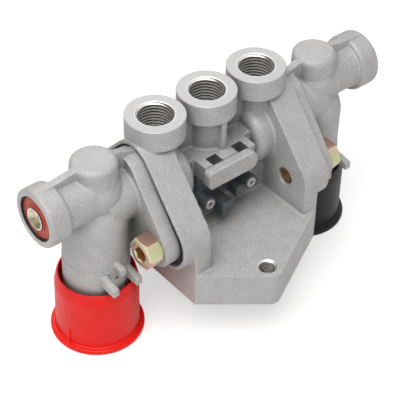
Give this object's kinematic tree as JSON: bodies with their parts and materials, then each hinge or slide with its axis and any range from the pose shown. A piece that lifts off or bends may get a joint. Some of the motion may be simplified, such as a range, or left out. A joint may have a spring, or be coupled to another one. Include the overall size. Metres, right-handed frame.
{
  "type": "pneumatic double release valve",
  "caption": "Cast trailer brake release valve: tapped ports in a row over a mounting shelf, with a red and a black push-pull knob on the spool valves at its sides.",
  "frame": {"origin": "centre of the middle port's mouth", "axes": "+Z out of the ports, +X along the row of ports towards the black knob, -Y over the mounting shelf; knobs point down"},
  "size_m": [0.1768, 0.0891, 0.0971],
  "materials": {
    "cast_aluminium": "die-cast, fine matte grain, machined faces",
    "yellow_zinc_steel": "yellow zinc plated, slightly iridescent",
    "gasket_rubber": "matte",
    "seat_plastic": "matte",
    "flap_rubber": "matte brick red",
    "black_steel": "blackened",
    "sleeve_plastic": "matte natural nylon",
    "seal_rubber": "matte",
    "spring_steel": "bright spring steel",
    "spool_metal": "turned",
    "zinc_steel": "zinc plated",
    "insert_plastic": "slate grey, satin",
    "bush_metal": "turned",
    "red_plastic": "smooth satin gloss",
    "black_plastic": "smooth satin"
  },
  "bodies": {
    "valve_block": {"centre_housing": "cast_aluminium", "middle_wall": "cast_aluminium", "left_side_wall": "cast_aluminium", "right_side_wall": "cast_aluminium", "mounting_shelf": "cast_aluminium", "clip_insert": "insert_plastic", "insert_bushes": "bush_metal", "left_gasket": "gasket_rubber", "left_valve_body": "cast_aluminium", "left_flange_bolts": "yellow_zinc_steel", "left_outlet_seat": "seat_plastic", "left_outlet_flap": "flap_rubber", "left_outlet_rivet": "yellow_zinc_steel", "left_outlet_ring": "black_steel", "left_guide_sleeve": "sleeve_plastic", "left_sleeve_seal": "seal_rubber", "left_detent_ring": "spring_steel", "left_retaining_clip": "spring_steel", "right_gasket": "gasket_rubber", "right_valve_body": "cast_aluminium", "right_flange_bolts": "yellow_zinc_steel", "right_outlet_seat": "seat_plastic", "right_outlet_flap": "flap_rubber", "right_outlet_rivet": "yellow_zinc_steel", "right_outlet_ring": "black_steel", "right_guide_sleeve": "sleeve_plastic", "right_sleeve_seal": "seal_rubber", "right_detent_ring": "spring_steel", "right_retaining_clip": "spring_steel"},
    "red_knob": {"left_knob": "red_plastic", "left_knob_screw": "zinc_steel", "left_stem": "spool_metal", "left_stem_seals": "seal_rubber"},
    "black_knob": {"right_knob": "black_plastic", "right_knob_screw": "zinc_steel", "right_stem": "spool_metal", "right_stem_seals": "seal_rubber"}
  },
  "joints": [
    {"name": "red_knob_slide", "type": "slide", "parent": "valve_block", "child": "red_knob", "axis": [0, 0, -1], "range_m": [0, 0.013]},
    {"name": "black_knob_slide", "type": "slide", "parent": "valve_block", "child": "black_knob", "axis": [0, 0, -1], "range_m": [0, 0.013]}
  ]
}
